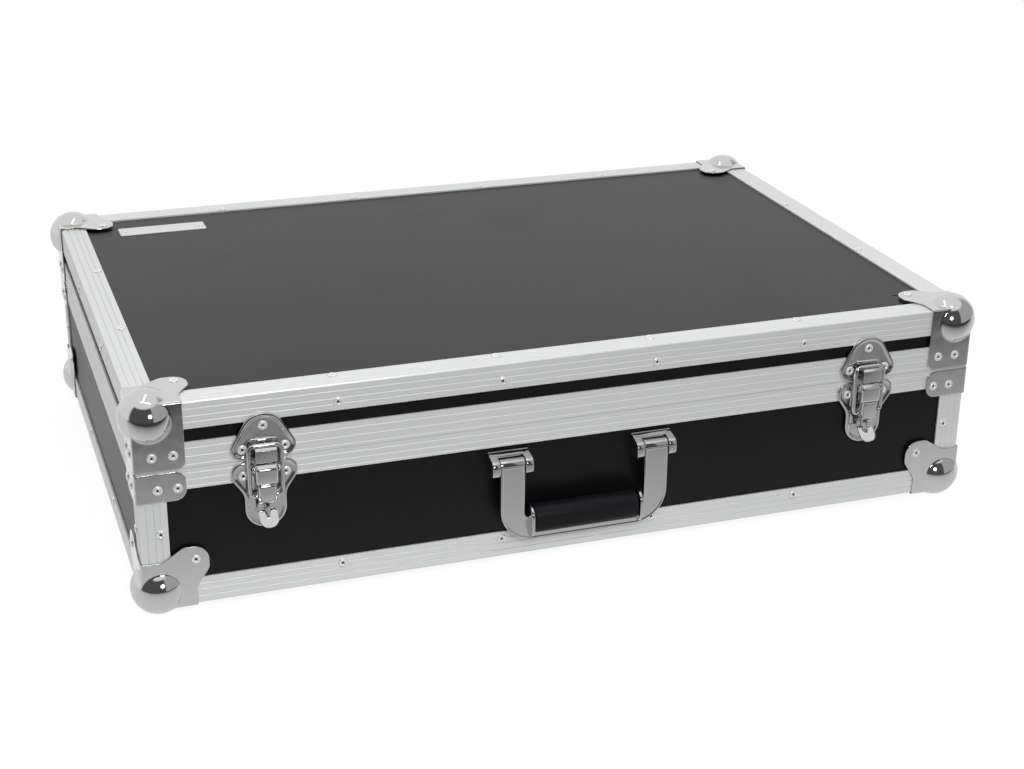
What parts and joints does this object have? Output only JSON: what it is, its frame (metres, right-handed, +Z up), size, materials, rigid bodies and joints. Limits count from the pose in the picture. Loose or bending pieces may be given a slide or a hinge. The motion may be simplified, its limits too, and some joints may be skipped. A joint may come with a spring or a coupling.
{
  "type": "flight case",
  "caption": "Shallow protective case of laminated board in aluminium edges, with steel ball corners, a hinged foam-lined lid, padlockable draw latches and a drop handle.",
  "frame": {"origin": "on the ground, under the middle of the whole object from the grip to the balls at the back", "axes": "+X along the front to the right, +Y from the front with the latches to the back with the hinges, +Z up"},
  "size_m": [0.7254, 0.512, 0.1864],
  "materials": {
    "laminate": "satin",
    "aluminium": "satin",
    "nickel": "polished",
    "chrome": "polished",
    "grip_rubber": "matte",
    "foam": "matte"
  },
  "bodies": {
    "base": {"bottom_panel": "laminate", "base_panel_front": "laminate", "base_panel_right": "laminate", "base_panel_back": "laminate", "base_panel_left": "laminate", "foam_lining": "foam", "edge_bottom_front": "aluminium", "edge_bottom_right": "aluminium", "edge_bottom_back": "aluminium", "edge_bottom_left": "aluminium", "closure_base_front": "aluminium", "closure_base_right": "aluminium", "closure_base_back": "aluminium", "closure_base_left": "aluminium", "upright_edge_front_left": "aluminium", "upright_edge_front_right": "aluminium", "upright_edge_back_right": "aluminium", "upright_edge_back_left": "aluminium", "ball_corner_base_front_left": "nickel", "ball_corner_base_front_right": "nickel", "ball_corner_base_back_right": "nickel", "ball_corner_base_back_left": "nickel", "corner_brace_front_left": "nickel", "corner_brace_front_right": "nickel", "corner_brace_back_right": "nickel", "corner_brace_back_left": "nickel", "latch_plate_left": "nickel", "latch_plate_right": "nickel", "handle_bracket_left": "chrome", "handle_bracket_right": "chrome", "hinge_leaf_base_left": "nickel", "hinge_leaf_base_right": "nickel"},
    "lid": {"lid_top_panel": "laminate", "lid_panel_front": "laminate", "lid_panel_right": "laminate", "lid_panel_back": "laminate", "lid_panel_left": "laminate", "lid_foam_pad": "foam", "edge_top_front": "aluminium", "edge_top_right": "aluminium", "edge_top_back": "aluminium", "edge_top_left": "aluminium", "closure_lid_front": "aluminium", "closure_lid_right": "aluminium", "closure_lid_back": "aluminium", "closure_lid_left": "aluminium", "ball_corner_lid_front_left": "nickel", "ball_corner_lid_front_right": "nickel", "ball_corner_lid_back_right": "nickel", "ball_corner_lid_back_left": "nickel", "latch_keeper_left": "nickel", "latch_keeper_right": "nickel", "hinge_leaf_lid_left": "nickel", "hinge_leaf_lid_right": "nickel"},
    "lever_left": {"latch_lever_left": "nickel"},
    "lever_right": {"latch_lever_right": "nickel"},
    "bail_left": {"latch_bail_left": "nickel"},
    "bail_right": {"latch_bail_right": "nickel"},
    "handle": {"handle_bow": "chrome", "handle_grip": "grip_rubber"}
  },
  "joints": [
    {"name": "lid_hinge", "type": "hinge", "parent": "base", "child": "lid", "pos_m": [0, 0.2515, 0.1267], "axis": [-1, 0, 0], "range_deg": [0, 100]},
    {"name": "lever_left", "type": "hinge", "parent": "base", "child": "lever_left", "pos_m": [-0.257, -0.2407, 0.119], "axis": [-1, 0, 0], "range_deg": [0, 100]},
    {"name": "lever_right", "type": "hinge", "parent": "base", "child": "lever_right", "pos_m": [0.257, -0.2407, 0.119], "axis": [-1, 0, 0], "range_deg": [0, 100]},
    {"name": "bail_left", "type": "hinge", "parent": "lever_left", "child": "bail_left", "pos_m": [-0.257, -0.239, 0.096], "axis": [-1, 0, 0], "range_deg": [-64, 0]},
    {"name": "bail_right", "type": "hinge", "parent": "lever_right", "child": "bail_right", "pos_m": [0.257, -0.239, 0.096], "axis": [-1, 0, 0], "range_deg": [-64, 0]},
    {"name": "handle_swing", "type": "hinge", "parent": "base", "child": "handle", "pos_m": [0, -0.2423, 0.0947], "axis": [-1, 0, 0], "range_deg": [0, 95]}
  ],
  "couplings": [
    {"joint": "bail_left", "follows": "lever_left", "ratio": -0.64},
    {"joint": "bail_right", "follows": "lever_right", "ratio": -0.64}
  ]
}
